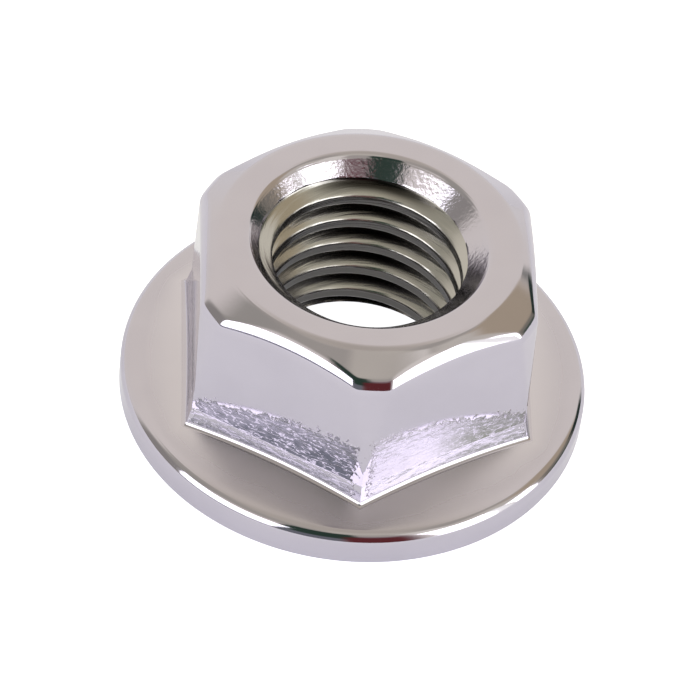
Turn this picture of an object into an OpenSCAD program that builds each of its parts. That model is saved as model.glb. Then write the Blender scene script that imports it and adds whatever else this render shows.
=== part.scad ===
// Serrated hexagon flange nut, cold formed in one piece: a hexagon that grows out of a round flange,
// with a bore for a metric thread and a ring of ratchet teeth under the flange.
// Millimetres. The nut stands on its teeth, its axis is Z, and one corner of the hexagon points to -Y.

/* [Thread] */
// Nominal diameter of the thread, measured at the bottom of its groove
thread_d = 10; // [9.6:0.1:10.4]
// Pitch of the thread
pitch = 1.5; // [1.2:0.05:1.8]
// How much wider the bore is than the thread's basic inner diameter
bore_play = 0.18; // [0:0.01:0.3]
// Form of the bore: plain, at the diameter of the thread's crests, or with the helical groove cut as well
bore_form = "plain"; // [plain, threaded]

/* [Bore ends] */
// Diameter of the upper countersink where its cone would meet the top face
top_sink_d = 11; // [10.6:0.1:11.4]
// Diameter of the lower countersink at the bearing face
low_sink_d = 11.4; // [10.8:0.1:11.8]
// Angle between opposite sides of each countersink, in degrees
sink_angle = 90; // [80:1:110]
// Radius of the soft lip round the upper countersink
lip_r = 0.5; // [0.1:0.05:0.7]

/* [Hexagon] */
// Width across the flats
across_flats = 15; // [14.6:0.1:15.6]
// Height of the nut over its teeth
nut_h = 9.85; // [9:0.05:11]
// Diameter of the flat ring on top, inside the chamfer
land_d = 13.36; // [12.8:0.02:13.4]
// Slope of the chamfer round the top, in degrees from level
chamfer_angle = 33; // [31:1:38]
// Radius to the rounded corners, just under the chamfer
corner_top_r = 8.24; // [8.1:0.02:8.6]
// Height above the flare at which the rounding of the corners has run out
sharp_h = 0.3; // [0.1:0.1:1]
// Radius of the soft edge along the top of each flat
edge_r = 1.1; // [0.6:0.05:1.1]

/* [Foot of the hexagon] */
// Height of the flare that joins each flat to the flange, above the flange's rim
foot_h = 1.2; // [0.9:0.05:1.6]
// Lean of the flare, in degrees from upright
foot_angle = 13; // [8:1:30]

/* [Flange] */
// Diameter of the flange
flange_d = 21.3; // [20.6:0.1:22.4]
// Height at which the upright side of the rim ends, over the teeth
rim_h = 1.22; // [1.1:0.02:1.8]
// Radius of the rim's upper edge
rim_top_r = 0.6; // [0.2:0.05:0.7]
// Radius of the rim's lower edge
rim_low_r = 0.2; // [0.1:0.05:0.3]
// Slope of the flange's top, in degrees from level
flange_slope = 12; // [8:0.5:18]
// Height of the bevel that lifts the rim clear of the bearing face
rim_lift = 0.1; // [0.05:0.05:0.3]

/* [Serrations] */
// Diameter of the bearing face
bearing_d = 19.8; // [19:0.1:20]
// Number of teeth under the flange
tooth_count = 30; // [18:1:40]
// Depth of the teeth at the edge of the bearing face
tooth_h = 0.4; // [0.2:0.05:0.6]
// Share of each tooth that is left as a flat crest
crest_share = 0.2; // [0.1:0.05:0.4]
// Plain border between the ends of the teeth and the edge of the bearing face
tooth_border = 0.25; // [0.1:0.05:0.6]

/* [Hidden] */
$fn = 96;
// How far a cutting shape runs past the face that it cuts
over = 0.2;
hexagon_flats = 6;
// Thread: angle of its flanks from level, depth of its groove as a share of the sharp triangle on one pitch,
// half the width of its floor in pitches, steps round one turn, and the direction from +X in which the middle
// of its groove leaves the top face
flank_angle = 30;
depth_share = 5 / 8;
floor_share = 1 / 16;
thread_steps = 36;
thread_start = 354;
half_flats = across_flats / 2;
corner_r = half_flats / cos(180 / hexagon_flats);
land_r = land_d / 2;
flange_r = flange_d / 2;
bearing_r = bearing_d / 2;
root_r = thread_d / 2;
crest_r = root_r - depth_share * pitch / 2 / tan(flank_angle) + bore_play / 2;
sink_half = sink_angle / 2;
foot_top = rim_h + rim_top_r + foot_h;

// Profile of one bar across the nut: upright flats with a soft upper edge and a flared foot
module bar_side() {
    flare = foot_top * tan(foot_angle);
    polygon([[0, 0], [half_flats + flare, 0], [half_flats, foot_top], [half_flats, nut_h - edge_r],
             [half_flats - edge_r, nut_h], [0, nut_h]]);
    translate([half_flats - edge_r, nut_h - edge_r]) intersection() {
        circle(r = edge_r);
        square(edge_r);
    }
}

module bar() {
    rotate([90, 0, 0]) linear_extrude(height = 2 * flange_d, center = true) {
        bar_side();
        mirror([1, 0]) bar_side();
    }
}

// Round envelope of the hexagon: chamfer, and corners that are rounder at the top than at the foot
module envelope() {
    shoulder_z = nut_h - (corner_top_r - land_r) * tan(chamfer_angle);
    lean = (corner_r - corner_top_r) / (shoulder_z - foot_top - sharp_h);
    rotate_extrude() polygon([[0, 0], [flange_d, 0], [flange_d, foot_top], [corner_r + lean * sharp_h, foot_top],
                              [corner_top_r, shoulder_z], [land_r, nut_h], [0, nut_h]]);
}

module hexagon() {
    intersection() {
        bar();
        rotate(60) bar();
        rotate(120) bar();
        envelope();
    }
}

// Flange: bevelled underneath, rounded at the rim, and sloping up to the hexagon on top
module flange() {
    crown_x = flange_r - rim_top_r + rim_top_r * sin(flange_slope);
    crown_z = rim_h + rim_top_r * cos(flange_slope);
    rotate_extrude() {
        polygon([[0, 0], [bearing_r, 0], [flange_r - rim_low_r, rim_lift], [flange_r, rim_lift + rim_low_r],
                 [flange_r, rim_h], [crown_x, crown_z], [0, crown_z + crown_x * tan(flange_slope)]]);
        translate([flange_r - rim_low_r, rim_lift + rim_low_r]) circle(r = rim_low_r);
        translate([flange_r - rim_top_r, rim_h]) circle(r = rim_top_r);
    }
}

// Plain bore at the thread's crests, with a countersink at each end
module bore() {
    top_r = top_sink_d / 2;
    low_r = low_sink_d / 2;
    top_depth = (top_r - crest_r) / tan(sink_half);
    low_depth = (low_r - crest_r) / tan(sink_half);
    lip_run = lip_r * tan((90 - sink_half) / 2);
    rotate_extrude() difference() {
        polygon([[0, -over], [low_r + over * tan(sink_half), -over], [crest_r, low_depth],
                 [crest_r, nut_h - top_depth],
                 [top_r - lip_run * sin(sink_half), nut_h - lip_run * cos(sink_half)],
                 [top_r + lip_run, nut_h], [top_r + lip_run, nut_h + over], [0, nut_h + over]]);
        translate([top_r + lip_run, nut_h - lip_r]) circle(r = lip_r);
    }
}

// The thread's groove: a 60 degree trapezium carried up a right-handed helix through the whole bore
module thread_groove() {
    root_half = pitch * floor_share;
    mouth_r = crest_r - over;
    mouth_half = root_half + (root_r - mouth_r) * tan(flank_angle);
    section = [[mouth_r, -mouth_half], [root_r, -root_half], [root_r, root_half], [mouth_r, mouth_half]];
    sides = len(section);
    turns = ceil(nut_h / pitch) + 2;
    rings = turns * thread_steps;
    base = nut_h - (turns - 1) * pitch;
    points = [for (i = [0:rings]) let (a = i * 360 / thread_steps, z = base + i * pitch / thread_steps)
              for (p = section) [p.x * cos(a), p.x * sin(a), z + p.y]];
    walls = [for (i = [0:rings - 1]) for (j = [0:sides - 1]) let (k = (j + 1) % sides)
             [i * sides + j, i * sides + k, (i + 1) * sides + k, (i + 1) * sides + j]];
    first = [for (j = [0:sides - 1]) sides - 1 - j];
    last = [for (j = [0:sides - 1]) rings * sides + j];
    rotate(thread_start) polyhedron(points = points, faces = concat([first, last], walls));
}

// One ratchet notch under the flange: a steep wall, then a ramp that falls to the next crest.
// Both of its upper edges run to the nut's axis, so the notch widens and deepens outwards.
module notch() {
    span = 360 / tooth_count * (1 - crest_share);
    inner = crest_r;
    outer = bearing_r - tooth_border;
    rise = tooth_h / bearing_r;
    steep = [for (r = [inner, outer], z = [-over, r * rise]) [r, 0, z]];
    ramp = [for (r = [inner, outer], z = [-over, 0]) [r * cos(span), r * sin(span), z]];
    polyhedron(points = concat(steep, ramp),
               faces = [[0, 1, 3, 2], [4, 6, 7, 5], [0, 2, 6, 4], [1, 5, 7, 3], [0, 4, 5, 1], [2, 3, 7, 6]]);
}

module flange_nut() {
    color("silver") difference() {
        union() {
            hexagon();
            flange();
        }
        bore();
        if (bore_form == "threaded") thread_groove();
        for (i = [0:tooth_count - 1]) rotate(i * 360 / tooth_count) notch();
    }
}

flange_nut();
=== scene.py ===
import math

import bpy
from mathutils import Matrix, Vector


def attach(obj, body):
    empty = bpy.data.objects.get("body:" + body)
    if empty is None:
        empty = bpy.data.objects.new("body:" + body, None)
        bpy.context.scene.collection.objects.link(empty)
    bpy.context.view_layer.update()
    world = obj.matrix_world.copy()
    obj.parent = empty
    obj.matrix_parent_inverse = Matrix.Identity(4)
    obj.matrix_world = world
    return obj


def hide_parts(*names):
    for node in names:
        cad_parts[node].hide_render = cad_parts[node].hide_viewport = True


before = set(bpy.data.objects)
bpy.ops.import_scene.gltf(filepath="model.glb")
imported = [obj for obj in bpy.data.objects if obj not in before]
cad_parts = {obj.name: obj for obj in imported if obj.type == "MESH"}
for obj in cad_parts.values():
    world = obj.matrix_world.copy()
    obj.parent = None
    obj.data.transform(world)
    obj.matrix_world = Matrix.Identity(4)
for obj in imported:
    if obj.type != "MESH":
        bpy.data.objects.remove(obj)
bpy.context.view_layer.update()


# The hexagon of the flange nut: cold formed steel, drawn up out of the flange by a die. Its top is
# chamfered, the edges of its flats are soft, and its corners are cut round at the top and grow sharp
# towards the foot. Sizes are in millimetres, and angles in radians.
MM = 0.001
ACROSS_FLATS = 15.0
NUT_H = 9.85
LIP_END_R = 5.707
LIP_MARGIN = 0.12
LAND_R = 6.68
LAND_SOFTNESS = 0.25
CHAMFER = math.radians(33)
FOOT_TOP = 3.02
CORNER_R = 8.24
CORNER_SOFTNESS = 0.03
CORNER_LEAN = 0.096
SHOULDER_Z = 8.3
EDGE_TANGENT_MID = 0.6
EDGE_TANGENT_CORNER = 0.49
half_flats = ACROSS_FLATS / 2
half_turn = math.radians(30)


def direction(angle):
    return Vector((math.cos(angle), math.sin(angle)))


def spaced(first, last, count):
    """Evenly spaced values from the first to the last, both included."""
    return [first + (last - first) * i / (count - 1) for i in range(count)]


def smooth(low, high, value):
    """Rises softly from 0 to 1 as the value goes from low to high."""
    t = min(max((value - low) / (high - low), 0), 1)
    return t * t * (3 - 2 * t)


def soft_max(a, b, softness):
    """The larger of two values, with the change from one to the other rounded off."""
    gap = abs(a - b)
    return max(a, b) + softness * math.log1p(math.exp(-gap / softness))


class Column:
    """One upright line of the hexagon's mesh: a flat, and a place across it from -1 to 1."""

    def __init__(self, flat, across):
        self.flat = flat
        self.across = across
        self.turn = math.atan(across * math.tan(half_turn))
        self.ray = direction(math.radians(60 * flat - 60) + self.turn)

    def at(self, apothem, envelope):
        """Its place in plan on a hexagon of that apothem, with the corners cut by a round envelope."""
        return self.ray * -soft_max(-apothem / math.cos(self.turn), -envelope, CORNER_SOFTNESS)


near_corner = spaced(0.72, 1, 13)
places_across = [-a for a in reversed(near_corner)] + spaced(-0.66, 0.66, 24) + near_corner[:-1]
columns = [Column(flat, across) for flat in range(6) for across in places_across]


def envelope_at(z):
    """Radius of the envelope that cuts the corners, which widens downwards past the sharp corner."""
    return CORNER_R + CORNER_LEAN * max(SHOULDER_Z - z, 0)


def chamfer_z(radius):
    return NUT_H - (radius - LAND_R) * math.tan(CHAMFER)


def top_profile(column):
    """Points (radius, height) from the bore's lip over the land and the chamfer to the upright flat."""
    edge_r = column.at(half_flats, CORNER_R).length
    at_corner = smooth(0.5, 0.9, abs(column.across))
    tangent = EDGE_TANGENT_MID + (EDGE_TANGENT_CORNER - EDGE_TANGENT_MID) * at_corner
    edge_arc = tangent / math.tan((math.pi / 2 - CHAMFER) / 2)
    arc_r = edge_r - edge_arc
    arc_z = chamfer_z(edge_r) - tangent
    soft_r = LAND_SOFTNESS / math.tan(CHAMFER / 2)
    points = [(LIP_END_R, NUT_H), (LIP_END_R + LIP_MARGIN, NUT_H)]
    for a in spaced(0, CHAMFER, 9):
        points.append((LAND_R - LAND_SOFTNESS + soft_r * math.sin(a), NUT_H - soft_r * (1 - math.cos(a))))
    start_r = points[-1][0]
    end_r = arc_r + edge_arc * math.sin(CHAMFER)
    for t in (0.08, 0.5, 0.92):
        radius = start_r + (end_r - start_r) * t
        points.append((radius, chamfer_z(radius)))
    for a in spaced(CHAMFER, math.pi / 2, 15):
        points.append((arc_r + edge_arc * math.sin(a), arc_z + edge_arc * math.cos(a)))
    return points


# The foot of the hexagon: just above the flange each flat leans out in a narrow flare, with a small hollow
# fillet under it. Low on each flat is a scratched, rougher patch that differs from flat to flat, with a
# painted reflection of the flange in it: its colour is painted dark, partly green, and broken by painted
# bright strokes.
FLARE_LEAN = math.tan(math.radians(13))
FLANGE_SLOPE = math.tan(math.radians(12))
FOOT_FILLET = 0.2
RIM_TOP_R = 0.6
RIM_H = 1.22
FLANGE_R = 10.65
# A patch for each flat: where it begins and ends across the flat, its heights over the flare at both ends,
# how dark its painted reflection is at both ends, and how green that painted reflection is
PATCHES = [
    (-0.92, 0.99, 2.65, 0.7, 0.1, 0.85, 1),
    (-0.8, 0.9, 1.6, 1.0, 0.3, 0.8, 0.5),
    (-0.95, 0.7, 0.8, 1.8, 0.7, 0.2, 0),
    (-0.6, 0.9, 1.9, 1.1, 0.6, 0.4, 0.6),
    (-0.9, 0.8, 1.0, 1.7, 0.2, 0.7, 0.3),
    (-0.97, 0.9, 0.7, 2.3, 1.0, 1.0, 0),
]
crown_angle = math.atan(FLANGE_SLOPE)
crown_r = FLANGE_R - RIM_TOP_R + RIM_TOP_R * math.sin(crown_angle)
crown_z = RIM_H + RIM_TOP_R * math.cos(crown_angle)


def flange_z(radius):
    return crown_z + (crown_r - radius) * FLANGE_SLOPE


def flare_point(column, z):
    return column.at(half_flats + (FOOT_TOP - z) * FLARE_LEAN, FLANGE_R)


def foot_z(column):
    """Height at which the flare would meet the flange, found by going back and forth between the two."""
    z = flange_z(half_flats)
    for _ in range(6):
        z = flange_z(flare_point(column, z).length)
    return z


def patch_at(column, z):
    """Marks for a point of a flat: how far inside its patch it is, in millimetres, and how dark and green its
    painted reflection is.
    """
    first, last, first_top, last_top, first_dull, last_dull, green = PATCHES[column.flat]
    along = (column.across - first) / (last - first)
    if first_top > last_top:
        top = last_top + (first_top - last_top) * math.sin((1 - along) * math.pi / 2)
    else:
        top = first_top + (last_top - first_top) * math.sin(along * math.pi / 2)
    below = FOOT_TOP + top - z
    ends = min(column.across - first, last - column.across) * half_flats * math.tan(half_turn)
    dull = first_dull + (last_dull - first_dull) * smooth(0.3, 0.75, along)
    dull *= 0.7 + 0.3 * smooth(0.2, 1.6, below)
    return {"patch": min(below, ends), "dull": dull, "green": green}


# The flange and its rim: pressed in the same stroke, slightly conical on top, with a rounded rim. Its
# underside rests on ratchet teeth, each a steep wall and a long ramp, which bite when the nut is turned
# loose. HOLD is how near a ring of points stands to an edge, to keep the shading beside it plain.
HOLD = 0.03
RIM_LOW_R = 0.2
RIM_LIFT = 0.1
SEAM_TOP_Z = 0.76
SEAM_LOW_Z = 0.6
BEARING_R = 9.9
TOOTH_COUNT = 30
TOOTH_H = 0.4
TOOTH_SPAN = math.radians(360 / TOOTH_COUNT * 0.8)
TOOTH_END_R = 9.65
TOOTH_WALL = math.radians(0.15)
TOOTH_CREST = math.radians(1.2)
LOW_SINK_R = 5.7
TOOTH_RADII = (9.0, 8.2, 7.4, 6.6, 6.0)


def rim_top_points():
    """Points (radius, height) round the upper edge of the rim and down its side."""
    centre_r = FLANGE_R - RIM_TOP_R
    points = []
    for a in spaced(crown_angle, math.pi / 2, 13):
        points.append((centre_r + RIM_TOP_R * math.sin(a), RIM_H + RIM_TOP_R * math.cos(a)))
    return points + [(FLANGE_R, RIM_H - 2 * HOLD), (FLANGE_R, SEAM_TOP_Z)]


def rim_low_points():
    """Points (radius, height) from the side of the rim round its lower edge to the bearing face."""
    centre_r = FLANGE_R - RIM_LOW_R
    centre_z = RIM_LIFT + RIM_LOW_R
    points = [(FLANGE_R, SEAM_LOW_Z), (FLANGE_R, centre_z + HOLD)]
    for a in spaced(0, math.pi / 2, 7):
        points.append((centre_r + RIM_LOW_R * math.cos(a), centre_z - RIM_LOW_R * math.sin(a)))
    return points + [(BEARING_R + 0.02, 0.004), (BEARING_R, 0), (TOOTH_END_R + HOLD, 0)]


def tooth_slope(angle):
    """Height of the notch between two teeth over its radius, at that direction."""
    past_wall = angle % (2 * math.pi / TOOTH_COUNT)
    if TOOTH_WALL / 2 < past_wall < TOOTH_SPAN:
        return TOOTH_H / BEARING_R * math.sin(TOOTH_SPAN - past_wall) / math.sin(TOOTH_SPAN)
    return 0


ramp_angles = spaced(TOOTH_SPAN / 8, TOOTH_SPAN, 8)
one_tooth = [-TOOTH_WALL, TOOTH_WALL] + ramp_angles + [TOOTH_SPAN + TOOTH_CREST]
tooth_angles = [t * 2 * math.pi / TOOTH_COUNT + a for t in range(TOOTH_COUNT) for a in one_tooth]


# The bore: tapped with a right-handed thread of 1.5 mm pitch, and countersunk at both ends. The crests of
# the thread are slightly rounded, and its groove runs out into the upper countersink. Painted shade darkens
# the bottom of the groove on one side, and the crest lands.
THREAD_R = 5.0
CREST_R = 4.278
PITCH = 1.5
GROOVE_START = math.radians(354)
ROOT_HALF = PITCH / 16
ROOT_SOFTNESS = 0.07
CREST_SOFTNESS = 0.035
TOP_SINK_R = 5.5
LIP_R = 0.5
PAINTED_SHADE_SIDE = math.radians(84)
ROOT_PAINTED_SHADE = 0.97
CREST_PAINTED_SHADE = 0.6
BORE_TURNS = 192
BORE_LOW_Z = 0.5
ROW_STEP = 0.05


def bore_wall(angle, z):
    """Radius of the bore's wall, and marks for how far it is countersink or thread, and how much painted
    shade.
    """
    rise = (angle - GROOVE_START) / (2 * math.pi) * PITCH + NUT_H
    off = abs((z - rise + PITCH / 2) % PITCH - PITCH / 2)
    flank = THREAD_R - (off - ROOT_HALF) / math.tan(half_turn)
    groove = -soft_max(-flank, -THREAD_R, ROOT_SOFTNESS)
    thread = soft_max(groove, CREST_R, CREST_SOFTNESS)
    sink = max(LOW_SINK_R - z, TOP_SINK_R - (NUT_H - z))
    threaded = smooth(-0.03, 0.03, thread - sink)
    # Painted shade: the groove bottom on the far side of the bore from the camera, and the crest lands, are
    # painted darker in place of the shade and dark reflections inside the bore
    root_painted_shade = smooth(0.75, 1, math.cos(angle - PAINTED_SHADE_SIDE)) * (1 - smooth(0.24, 0.48, off)) * ROOT_PAINTED_SHADE
    darkened = max(root_painted_shade, smooth(0.5, 0.6, off) * CREST_PAINTED_SHADE)
    marks = {"sunk": 1 - threaded, "thread": threaded, "darkened": threaded * darkened}
    return soft_max(thread, sink, CREST_SOFTNESS / 2), marks


lip_rows = [(LIP_END_R - LIP_R * math.cos(a), NUT_H - LIP_R + LIP_R * math.sin(a))
            for a in spaced(math.pi / 4, math.pi / 2, 7)]
bore_top_z = lip_rows[0][1]
bore_rows = spaced(BORE_LOW_Z, bore_top_z - ROW_STEP, round((bore_top_z - BORE_LOW_Z) / ROW_STEP))
bore_angles = [2 * math.pi * i / BORE_TURNS for i in range(BORE_TURNS)]


# The whole nut is one mesh: rings of points from the lip of the bore, over the outside and the underside,
# and up through the bore to the lip again. Rings with unlike numbers of points are joined by triangles.
# Marks on the points say where the surface differs from plain bright plating.
UNMARKED = {"patch": -1, "dull": 0, "green": 0, "satin": 0, "sunk": 0, "thread": 0, "darkened": 0}
SHARP_EDGE = math.radians(38)


class RingMesh:
    """The points, faces and marks of the nut."""

    def __init__(self):
        self.points = []
        self.faces = []
        self.marks = []

    def ring(self, places, marks=None):
        """Adds one ring of points (x, y, z in millimetres), anticlockwise, and gives their numbers."""
        first = len(self.points)
        self.points += [Vector(p) * MM for p in places]
        self.marks += marks or [{}] * len(places)
        return list(range(first, len(self.points)))

    def join(self, upper, lower):
        """Quads between two rings with the same number of points."""
        count = len(upper)
        for i in range(count):
            k = (i + 1) % count
            self.faces.append((upper[i], lower[i], lower[k], upper[k]))

    def stitch(self, upper, lower):
        """Triangles between two rings with unlike numbers of points, in the order of their turns."""
        def turn_from(ring, start):
            angles = [math.atan2(self.points[i].y, self.points[i].x) for i in ring]
            return [(a - start) % (2 * math.pi) for a in angles]

        start = math.atan2(self.points[upper[0]].y, self.points[upper[0]].x) - 1e-6
        lower_turns = turn_from(lower, start)
        first = lower_turns.index(min(lower_turns))
        lower = lower[first:] + lower[:first]
        up = turn_from(upper, start) + [2 * math.pi + 1e-6]
        low = turn_from(lower, start) + [2 * math.pi + 2e-6]
        i = j = 0
        while i < len(upper) or j < len(lower):
            a = upper[i % len(upper)]
            b = lower[j % len(lower)]
            if j == len(lower) or (i < len(upper) and up[i + 1] <= low[j + 1]):
                i += 1
                self.faces.append((a, b, upper[i % len(upper)]))
            else:
                j += 1
                self.faces.append((a, b, lower[j % len(lower)]))


nut_mesh = RingMesh()

# The land, the chamfer and the soft edges
tops = [top_profile(c) for c in columns]
rings = []
for row in range(len(tops[0])):
    rings.append(nut_mesh.ring([(*(c.ray * top[row][0]), top[row][1]) for c, top in zip(columns, tops)]))

# The flats, with finer rings over their patches
for share in [0.015, 0.1, 0.2, 0.3, 0.4] + spaced(0.45, 0.995, 24):
    places = []
    marks = []
    for column, top in zip(columns, tops):
        z = top[-1][1] + (FOOT_TOP - top[-1][1]) * share
        places.append((*column.at(half_flats, envelope_at(z)), z))
        marks.append(patch_at(column, z))
    rings.append(nut_mesh.ring(places, marks))

# The flare and the fillet under it
feet = [foot_z(c) for c in columns]
for share in (0, 0.05, 0.3, 0.65, 1):
    places = []
    marks = []
    for column, foot in zip(columns, feet):
        z = FOOT_TOP + (foot + FOOT_FILLET - FOOT_TOP) * share
        places.append((*flare_point(column, z), z))
        mark = patch_at(column, z)
        mark["dull"] *= 0.7 * share
        marks.append(mark)
    rings.append(nut_mesh.ring(places, marks))
for t in spaced(0.125, 1, 8):
    places = []
    for column, foot in zip(columns, feet):
        above = flare_point(column, foot + FOOT_FILLET).length
        corner = flare_point(column, foot).length
        beyond = corner + FOOT_FILLET
        radius = (1 - t) ** 2 * above + 2 * t * (1 - t) * corner + t * t * beyond
        z = (1 - t) ** 2 * (foot + FOOT_FILLET) + 2 * t * (1 - t) * foot + t * t * flange_z(beyond)
        places.append((*(column.ray * radius), z))
    rings.append(nut_mesh.ring(places))

# The top of the flange, and the rim
for share in (0.03, 0.1, 0.2, 0.35, 0.5, 0.7, 0.85, 0.97):
    places = []
    for column, foot in zip(columns, feet):
        start_r = flare_point(column, foot).length + FOOT_FILLET
        radius = start_r + (crown_r - start_r) * share
        places.append((*(column.ray * radius), flange_z(radius)))
    # Satin on top of the flange; the same mark also says where a painted light makes the flange paler near
    # the hexagon's foot
    satin = (1 - 0.3 * share) * (1 - smooth(0.8, 1, share))
    rings.append(nut_mesh.ring(places, [{"satin": satin}] * len(places)))
for radius, z in rim_top_points():
    rings.append(nut_mesh.ring([(*(c.ray * radius), z) for c in columns]))
for upper, lower in zip(rings, rings[1:]):
    nut_mesh.join(upper, lower)

# The underside, with its teeth
under = []
for radius, z in rim_low_points():
    under.append(nut_mesh.ring([(*(direction(a) * radius), z) for a in tooth_angles]))
for radius in (TOOTH_END_R - HOLD,) + TOOTH_RADII:
    under.append(nut_mesh.ring([(*(direction(a) * radius), radius * tooth_slope(a)) for a in tooth_angles]))
places = []
for angle in tooth_angles:
    radius = LOW_SINK_R / (1 + tooth_slope(angle))
    places.append((*(direction(angle) * radius), LOW_SINK_R - radius))
under.append(nut_mesh.ring(places))
for upper, lower in zip(under, under[1:]):
    nut_mesh.join(upper, lower)
nut_mesh.stitch(rings[-1], under[0])

# The bore, upwards to its lip
bore = []
for z in bore_rows:
    walls = [bore_wall(a, z) for a in bore_angles]
    places = [(*(direction(a) * radius), z) for a, (radius, marks) in zip(bore_angles, walls)]
    bore.append(nut_mesh.ring(places, [marks for radius, marks in walls]))
for radius, z in lip_rows[:-1]:
    bore.append(nut_mesh.ring([(*(direction(a) * radius), z) for a in bore_angles]))
for upper, lower in zip(bore, bore[1:]):
    nut_mesh.join(upper, lower)
nut_mesh.stitch(under[-1], bore[0])
nut_mesh.stitch(bore[-1], rings[0])

data = bpy.data.meshes.new("flange_nut_body")
data.from_pydata(nut_mesh.points, [], nut_mesh.faces)
data.update()
data.shade_smooth()
data.set_sharp_from_angle(angle=SHARP_EDGE)
for name, unmarked in UNMARKED.items():
    attribute = data.attributes.new(name, "FLOAT", "POINT")
    attribute.data.foreach_set("value", [float(m.get(name, unmarked)) for m in nut_mesh.marks])
nut = bpy.data.objects.new("flange_nut_body", data)
bpy.context.scene.collection.objects.link(nut)
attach(nut, "root")
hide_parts("flange_nut")


# The finish: bright plating, smooth as a mirror on the flats and the chamfer, satin on top of the flange,
# finely speckled in the countersinks, scratched and rougher in the patches low on the flats, and greyer on
# the tapped thread. Painted into the colour are a painted light that makes the flange paler near the
# hexagon's foot, a painted reflection that darkens the patches, and painted shade in the thread. Roughness
# and height, in millimetres, are the mirror's and what each kind of surface adds.
MIRROR_ROUGHNESS = 0.06
CLOUD_ROUGHNESS = 0.04
SATIN_ROUGHNESS = 0.24
SPECKLE_ROUGHNESS = 0.05
PATCH_ROUGHNESS = 0.05
THREAD_ROUGHNESS = 0.12
WAVE_H = 0.004
GRAIN_H = 0.0006
SPECKLE_H = 0.011
SCRATCH_H = 0.045
TOOL_MARK_H = 0.02
STROKE_SHINE = 0.8
# Share of the painted light that makes the flange paler near the hexagon's foot
FOOT_PAINTED_LIGHT = 0.36
bright = (0.565, 0.54, 0.625, 1)
cloudy = (0.55, 0.525, 0.61, 1)
# Colour of the painted light near the hexagon's foot
foot_painted_light = (0.80, 0.77, 0.84, 1)
tapped = (0.50, 0.49, 0.485, 1)
# Colour of the painted shade on the groove bottoms and crest lands of the thread
thread_shade_paint = (0.022, 0.019, 0.016, 1)
# Colours of the painted reflection in the patches low on the flats
reflection_slate = (0.085, 0.092, 0.11, 1)
reflection_olive = (0.09, 0.11, 0.055, 1)


class Wire:
    """A socket of a node tree. Python's operators on it add Math nodes."""

    def __init__(self, tree, node, output=0):
        self.tree = tree
        self.node = node
        self.socket = node.outputs[output] if node.outputs else None

    def out(self, name):
        """Another output of the same node."""
        return Wire(self.tree, self.node, name)

    @classmethod
    def add(cls, tree, kind, settings=None, inputs=None, output=0):
        """Adds a node of that kind, sets its settings first and then its sockets, by value or by link."""
        node = tree.nodes.new(kind)
        for name, value in (settings or {}).items():
            if name == "stops":
                ramp = node.color_ramp.elements
                while len(ramp) < len(value):
                    ramp.new(0.5)
                for element, (place, colour) in zip(ramp, value):
                    element.position = place
                    element.color = (*colour, 1)
            else:
                setattr(node, name, value)
        for name, value in (inputs or {}).items():
            if isinstance(value, Wire):
                tree.links.new(value.socket, node.inputs[name])
            else:
                node.inputs[name].default_value = value
        return cls(tree, node, output)

    def maths(self, operation, *others):
        numbered = dict(enumerate((self, *others)))
        return Wire.add(self.tree, "ShaderNodeMath", {"operation": operation}, numbered)

    def dot(self, vector):
        settings = {"operation": "DOT_PRODUCT"}
        return Wire.add(self.tree, "ShaderNodeVectorMath", settings, {0: self, 1: vector}, output="Value")

    def __add__(self, other):
        return self.maths("ADD", other)

    __radd__ = __add__

    def __mul__(self, other):
        return self.maths("MULTIPLY", other)

    __rmul__ = __mul__

    def __sub__(self, other):
        return self.maths("SUBTRACT", other)

    def __rsub__(self, other):
        return (self * -1) + other

    def step(self, low, high):
        """0 below low, 1 above high, and a soft rise between them."""
        return Wire.add(self.tree, "ShaderNodeMapRange", {"interpolation_type": "SMOOTHSTEP"},
                        {"Value": self, "From Min": low, "From Max": high})


def mix_colour(tree, share, first, second):
    settings = {"data_type": "RGBA"}
    return Wire.add(tree, "ShaderNodeMix", settings, {0: share, 6: first, 7: second}, output=2)


plating = bpy.data.materials.new("bright_plating")
plating.use_nodes = True
tree = plating.node_tree
shader = tree.nodes["Principled BSDF"]
shader.inputs["Metallic"].default_value = 1
place = Wire.add(tree, "ShaderNodeTexCoord").out("Object")
patch, dull, green, satin, sunk, thread, darkened = [
    Wire.add(tree, "ShaderNodeAttribute", {"attribute_name": name}).out("Fac") for name in UNMARKED]


def noise_at(scale, detail=2.0, stretch=(1, 1, 1)):
    """Noise whose grains are about one over scale millimetres wide, drawn out along an axis if wanted."""
    mapped = Wire.add(tree, "ShaderNodeMapping", {}, {"Vector": place, "Scale": [s / MM for s in stretch]})
    return Wire.add(tree, "ShaderNodeTexNoise", {}, {"Vector": mapped, "Scale": scale, "Detail": detail})


cloud = noise_at(0.35)
grain = noise_at(6, detail=4)
tool_marks = noise_at(1, detail=3, stretch=(0.3, 0.3, 9))
scratch = noise_at(1.5, detail=3, stretch=(1, 1, 3))
blotch = noise_at(2.2, detail=3)
ragged = (noise_at(4, detail=4) - 0.5) * 1.6
patched = (patch + ragged).step(-0.05, 0.15)
colour = mix_colour(tree, cloud.step(0.35, 0.65), bright, cloudy)
# Painted light: the flange top is painted paler near the hexagon's foot, to lift the shade there
colour = mix_colour(tree, satin.step(0.74, 1) * FOOT_PAINTED_LIGHT, colour, foot_painted_light)
colour = mix_colour(tree, thread, colour, tapped)
# Painted shade in the thread
colour = mix_colour(tree, darkened, colour, thread_shade_paint)
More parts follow.
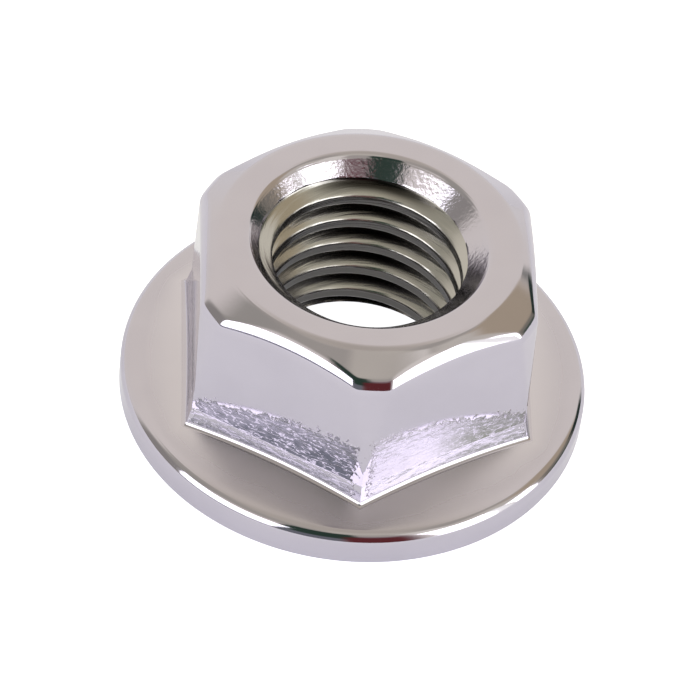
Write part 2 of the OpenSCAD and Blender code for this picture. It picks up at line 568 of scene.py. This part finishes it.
# Painted reflection: the patches are painted dark slate or olive and broken by painted bright strokes, in
# place of the flange mirrored in the flats
stroke = 1 - (scratch - 0.5).maths("ABSOLUTE").step(0.006, 0.03)
reflection_share = patched * dull * (1 - stroke * STROKE_SHINE) * (0.72 + blotch * 0.5)
colour = mix_colour(tree, reflection_share, colour, mix_colour(tree, green, reflection_slate, reflection_olive))
tree.links.new(colour.socket, shader.inputs["Base Color"])
roughness = MIRROR_ROUGHNESS + cloud * CLOUD_ROUGHNESS + thread * THREAD_ROUGHNESS + sunk * SPECKLE_ROUGHNESS
roughness = roughness + patched * PATCH_ROUGHNESS + satin * SATIN_ROUGHNESS
tree.links.new(roughness.socket, shader.inputs["Roughness"])
height = cloud * WAVE_H + grain * (GRAIN_H + sunk * SPECKLE_H)
height = height + patched * scratch * SCRATCH_H + thread * tool_marks * TOOL_MARK_H
bump = Wire.add(tree, "ShaderNodeBump", {}, {"Strength": 1.0, "Distance": MM, "Height": height})
tree.links.new(bump.socket, shader.inputs["Normal"])
data.materials.append(plating)


# The camera: it looks down on the front corner of the nut through a long lens, turned a little to the left.
AZIMUTH = math.radians(-6.74)
ELEVATION = math.radians(45.97)
ROLL = math.radians(7.35)
DISTANCE = 216.6
TARGET = Vector((-0.268, 0.032, 2.63))
level = Vector((math.cos(AZIMUTH), math.sin(AZIMUTH), 0))
towards_camera = Vector((level.y, -level.x, 0))
back = towards_camera * math.cos(ELEVATION) + Vector((0, 0, math.sin(ELEVATION)))
right = level * math.cos(ROLL) + back.cross(level) * math.sin(ROLL)
lens = bpy.data.cameras.new("camera")
lens.lens = 245.0
lens.sensor_width = 36
lens.clip_start = 0.01
camera = bpy.data.objects.new("camera", lens)
bpy.context.scene.collection.objects.link(camera)
axes = Matrix((right, back.cross(right), back)).transposed().to_4x4()
camera.matrix_world = Matrix.Translation((TARGET + back * DISTANCE) * MM) @ axes
bpy.context.scene.camera = camera


# The stage: a white table that the nut stands on. It keeps the nut's shadow, and glows a little in the
# nut's reflections.
TABLE_R = 160 * MM
TABLE_SIDES = 96
TABLE_SHINE = 0.3
floor_data = bpy.data.meshes.new("table")
edge = [(*(direction(2 * math.pi * i / TABLE_SIDES) * TABLE_R), 0) for i in range(TABLE_SIDES)]
floor_data.from_pydata(edge, [], [tuple(range(TABLE_SIDES))])
floor = bpy.data.objects.new("table", floor_data)
bpy.context.scene.collection.objects.link(floor)
white = bpy.data.materials.new("white_table")
white.use_nodes = True
tree = white.node_tree
tree.nodes.clear()
rays = Wire.add(tree, "ShaderNodeLightPath")
seen = rays.out("Is Camera Ray") + rays.out("Is Glossy Ray") * TABLE_SHINE
paper = Wire.add(tree, "ShaderNodeBsdfDiffuse", {}, {"Color": (0.75, 0.77, 0.82, 1)})
glow = Wire.add(tree, "ShaderNodeEmission", {}, {"Color": (1, 1, 1, 1), "Strength": seen})
both = Wire.add(tree, "ShaderNodeAddShader", {}, {0: paper, 1: glow})
Wire.add(tree, "ShaderNodeOutputMaterial", {}, {"Surface": both})
floor_data.materials.append(white)


# The light: soft boxes beside the camera, in a warm pale room that is greyer overhead and at the sides. Dark
# cards behind the camera, one green and one red, give the bright plating its dark edges.
LAMP_REACH = 260 * MM
LAMP_RADIANCE = 2.4


def soft_box(name, azimuth, elevation, width, height):
    """A rectangular lamp that faces the nut: its direction from the camera's and its size, in degrees."""
    turn = AZIMUTH + math.radians(azimuth)
    rise = math.radians(elevation)
    aim = Vector((math.sin(turn) * math.cos(rise), -math.cos(turn) * math.cos(rise), math.sin(rise)))
    lamp = bpy.data.lights.new(name, "AREA")
    lamp.shape = "RECTANGLE"
    lamp.size = 2 * LAMP_REACH * math.tan(math.radians(width / 2))
    lamp.size_y = 2 * LAMP_REACH * math.tan(math.radians(height / 2))
    lamp.energy = LAMP_RADIANCE * math.pi * lamp.size * lamp.size_y
    box = bpy.data.objects.new(name, lamp)
    bpy.context.scene.collection.objects.link(box)
    box.location = aim * LAMP_REACH
    box.rotation_euler = aim.to_track_quat("Z", "Y").to_euler()


soft_box("soft_box_left", azimuth=-47, elevation=23, width=46, height=35)
soft_box("soft_box_right", azimuth=57, elevation=19, width=28, height=50)
soft_box("soft_strip_right", azimuth=86, elevation=12, width=12, height=34)

world = bpy.data.worlds.new("room")
bpy.context.scene.world = world
world.use_nodes = True
tree = world.node_tree
tree.nodes.clear()
ray = Wire.add(tree, "ShaderNodeTexCoord").out("Generated")
height = Wire.add(tree, "ShaderNodeSeparateXYZ", {}, {0: ray}).out("Z")
turn = ray.dot(level).maths("ARCTAN2", ray.dot(towards_camera)) * math.degrees(1)
rise = height.maths("ARCSINE") * math.degrees(1)
room = Wire.add(tree, "ShaderNodeValToRGB", {"stops": [
    (0.0, (0.95, 0.92, 0.84)), (0.2, (0.96, 0.91, 0.79)), (0.85, (0.96, 0.90, 0.77)),
    (0.93, (0.76, 0.70, 0.57)), (0.97, (0.65, 0.60, 0.48)), (1.0, (0.63, 0.58, 0.46))]}, {0: height})
# Areas of the room: turn from and to, counted from the camera, rise from and to, and softness of the edges,
# all in degrees, then the colour
AREAS = [
    (-115, 118, 50, 73, 6, (0.53, 0.50, 0.41)),  # ceiling on the camera's side
    (-5, 62, 62, 80, 6, (0.72, 0.68, 0.54)),  # paler part of it
    (38, 66, 40, 62, 4, (1.0, 0.96, 0.80)),  # wall over the right soft box
    (66, 98, 30, 58, 5, (0.78, 0.74, 0.60)),
    (-100, -66, -90, 60, 8, (0.48, 0.46, 0.38)),  # grey wall on the left
    (-98, -66, -90, 36, 6, (0.38, 0.36, 0.31)),
    (96, 129, -90, 52, 5, (0.57, 0.48, 0.33)),  # brown wall on the right
    (95, 122, -90, 22, 6, (0.28, 0.26, 0.20)),
    (102, 117, -90, 8, 4, (0.10, 0.13, 0.10)),
    (119, 134, -90, 20, 3, (0.03, 0.05, 0.04)),
    (70, 80, -90, 42, 2, (1.45, 1.45, 1.30)),  # gap between the right soft box and its strip
    (-26, 38, -90, 50, 4, (0.30, 0.21, 0.20)),  # behind the camera
    (-70, -26, -90, 6, 2, (0.32, 0.32, 0.35)),  # under the left soft box
    (-25, 12, 20, 62, 3, (0.035, 0.065, 0.045)),  # green card
    (-25, 5, -90, 24, 3, (0.20, 0.21, 0.22)),  # grey under it
    (6, 33, -90, 41, 3, (0.16, 0.034, 0.036)),  # red card
]
for start, end, low, high, soft, tint in AREAS:
    share = turn.step(start - soft, start + soft) * (1 - turn.step(end - soft, end + soft))
    share = share * rise.step(low - soft, low + soft) * (1 - rise.step(high - soft, high + soft))
    room = mix_colour(tree, share, room, (*tint, 1))
rays = Wire.add(tree, "ShaderNodeLightPath")
room = mix_colour(tree, rays.out("Is Camera Ray"), room, (1, 1, 1, 1))
sky = Wire.add(tree, "ShaderNodeBackground", {}, {"Color": room, "Strength": 1.0})
Wire.add(tree, "ShaderNodeOutputWorld", {}, {"Surface": sky})

bpy.context.scene.view_settings.view_transform = "Standard"
